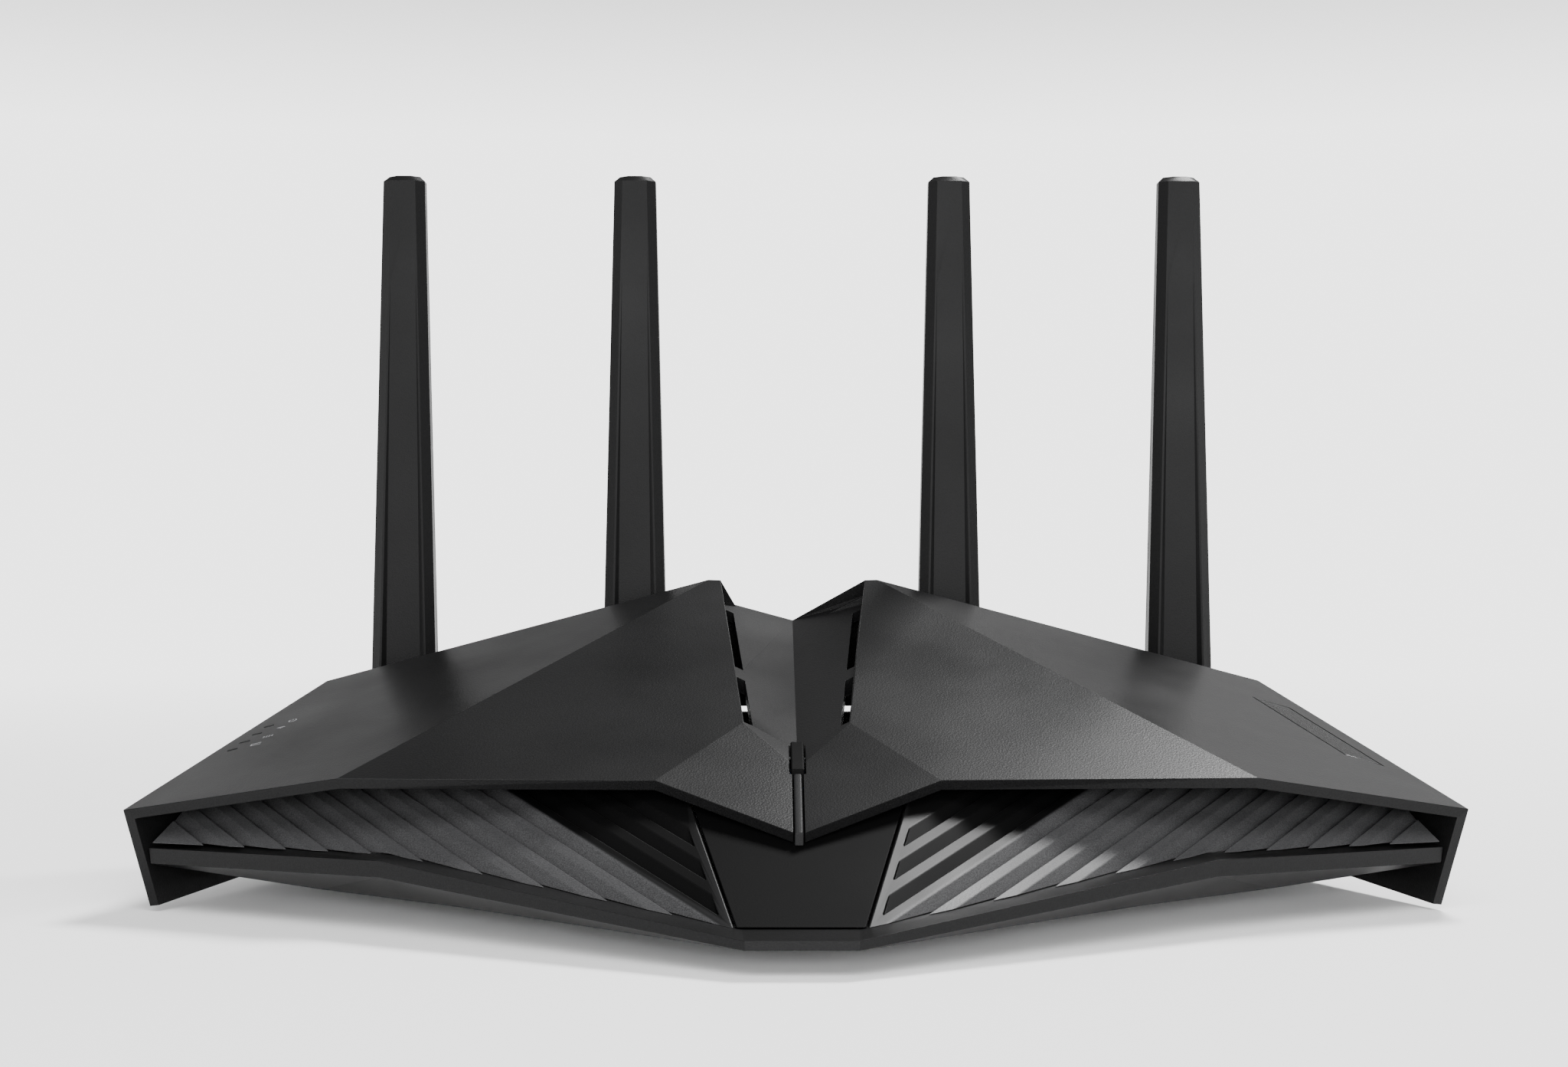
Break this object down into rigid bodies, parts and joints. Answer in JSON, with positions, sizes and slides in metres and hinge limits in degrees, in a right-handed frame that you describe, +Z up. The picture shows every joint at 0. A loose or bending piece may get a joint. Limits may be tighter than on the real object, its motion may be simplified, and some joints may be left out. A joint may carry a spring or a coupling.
{
  "type": "wireless router",
  "caption": "Desktop wireless router with a winged black cover, slanted ribbed front, centre light strip, rear sockets and buttons, and swivelling, folding antennas.",
  "frame": {"origin": "on the table under the middle of the overall box", "axes": "+X to the right seen from the front, +Y to the back where the sockets and antennas are, +Z up"},
  "size_m": [0.2754, 0.1844, 0.1653],
  "materials": {
    "shell_black": "fine grained moulded plastic",
    "antenna_black": "satin moulded plastic",
    "panel_black": "smooth dark plastic",
    "light_strip_grey": "frosted light guide",
    "clear_pipe": "clear moulded light pipe",
    "gloss_black": "polished black plaque",
    "circuit_board": "glass fibre board with green mask",
    "chip_black": "epoxy package",
    "sheet_steel": "plain sheet steel",
    "sink_aluminium": "extruded aluminium",
    "thermal_blue": "soft silicone pad",
    "foot_rubber": "matt rubber",
    "jack_yellow": "moulded socket housing",
    "jack_blue": "moulded socket housing"
  },
  "bodies": {
    "housing": {"top_cover": "shell_black", "bottom_case": "shell_black", "rear_panel": "shell_black", "ribbed_fascia_left": "shell_black", "ribbed_fascia_right": "shell_black", "centre_panel": "panel_black", "light_strip_cap": "panel_black", "dc_inlet": "panel_black", "light_strip": "light_strip_grey", "status_light_pipe": "clear_pipe", "badge_inlay": "gloss_black", "main_board": "circuit_board", "light_board_left": "circuit_board", "light_board_right": "circuit_board", "processor": "chip_black", "memory_chip": "chip_black", "radio_shield_left": "sheet_steel", "radio_shield_right": "sheet_steel", "usb_jack": "sheet_steel", "wps_switch": "sheet_steel", "reset_switch": "sheet_steel", "power_switch": "sheet_steel", "case_screw_front_left": "sheet_steel", "case_screw_front_right": "sheet_steel", "case_screw_rear_left": "sheet_steel", "case_screw_rear_right": "sheet_steel", "heatsink": "sink_aluminium", "thermal_pad": "thermal_blue", "rubber_foot_front_left": "foot_rubber", "rubber_foot_front_right": "foot_rubber", "rubber_foot_rear_left": "foot_rubber", "rubber_foot_rear_right": "foot_rubber", "lan_jack_block": "jack_yellow", "wan_jack": "jack_blue"},
    "swivel_outer_left": {"antenna_collar_outer_left": "antenna_black"},
    "blade_outer_left": {"antenna_shell_outer_left": "antenna_black", "antenna_back_outer_left": "antenna_black", "antenna_element_outer_left": "circuit_board", "hinge_pin_outer_left": "sheet_steel"},
    "swivel_inner_left": {"antenna_collar_inner_left": "antenna_black"},
    "blade_inner_left": {"antenna_shell_inner_left": "antenna_black", "antenna_back_inner_left": "antenna_black", "antenna_element_inner_left": "circuit_board", "hinge_pin_inner_left": "sheet_steel"},
    "swivel_inner_right": {"antenna_collar_inner_right": "antenna_black"},
    "blade_inner_right": {"antenna_shell_inner_right": "antenna_black", "antenna_back_inner_right": "antenna_black", "antenna_element_inner_right": "circuit_board", "hinge_pin_inner_right": "sheet_steel"},
    "swivel_outer_right": {"antenna_collar_outer_right": "antenna_black"},
    "blade_outer_right": {"antenna_shell_outer_right": "antenna_black", "antenna_back_outer_right": "antenna_black", "antenna_element_outer_right": "circuit_board", "hinge_pin_outer_right": "sheet_steel"},
    "wps_button_body": {"wps_button": "panel_black"},
    "reset_button_body": {"reset_button": "panel_black"},
    "power_button_body": {"power_button": "panel_black"}
  },
  "joints": [
    {"name": "swivel_outer_left", "type": "hinge", "parent": "housing", "child": "swivel_outer_left", "pos_m": [-0.0955, 0.07, 0.03], "axis": [0, -1, 0], "range_deg": [-15, 90]},
    {"name": "tilt_outer_left", "type": "hinge", "parent": "swivel_outer_left", "child": "blade_outer_left", "pos_m": [-0.0955, 0.0852, 0.03], "axis": [-1, 0, 0], "range_deg": [0, 90]},
    {"name": "swivel_inner_left", "type": "hinge", "parent": "housing", "child": "swivel_inner_left", "pos_m": [-0.0387, 0.07, 0.03], "axis": [0, -1, 0], "range_deg": [-12, 15]},
    {"name": "tilt_inner_left", "type": "hinge", "parent": "swivel_inner_left", "child": "blade_inner_left", "pos_m": [-0.0387, 0.0852, 0.03], "axis": [-1, 0, 0], "range_deg": [0, 90]},
    {"name": "swivel_inner_right", "type": "hinge", "parent": "housing", "child": "swivel_inner_right", "pos_m": [0.0387, 0.07, 0.03], "axis": [0, 1, 0], "range_deg": [-12, 15]},
    {"name": "tilt_inner_right", "type": "hinge", "parent": "swivel_inner_right", "child": "blade_inner_right", "pos_m": [0.0387, 0.0852, 0.03], "axis": [-1, 0, 0], "range_deg": [0, 90]},
    {"name": "swivel_outer_right", "type": "hinge", "parent": "housing", "child": "swivel_outer_right", "pos_m": [0.0955, 0.07, 0.03], "axis": [0, 1, 0], "range_deg": [-15, 90]},
    {"name": "tilt_outer_right", "type": "hinge", "parent": "swivel_outer_right", "child": "blade_outer_right", "pos_m": [0.0955, 0.0852, 0.03], "axis": [-1, 0, 0], "range_deg": [0, 90]},
    {"name": "wps_press", "type": "slide", "parent": "housing", "child": "wps_button_body", "axis": [0, -1, 0], "range_m": [0, 0.0006], "stiffness_N_per_m": 800},
    {"name": "reset_press", "type": "slide", "parent": "housing", "child": "reset_button_body", "axis": [0, -1, 0], "range_m": [0, 0.0005], "stiffness_N_per_m": 800},
    {"name": "power_press", "type": "slide", "parent": "housing", "child": "power_button_body", "axis": [0, -1, 0], "range_m": [0, 0.002], "stiffness_N_per_m": 400}
  ]
}
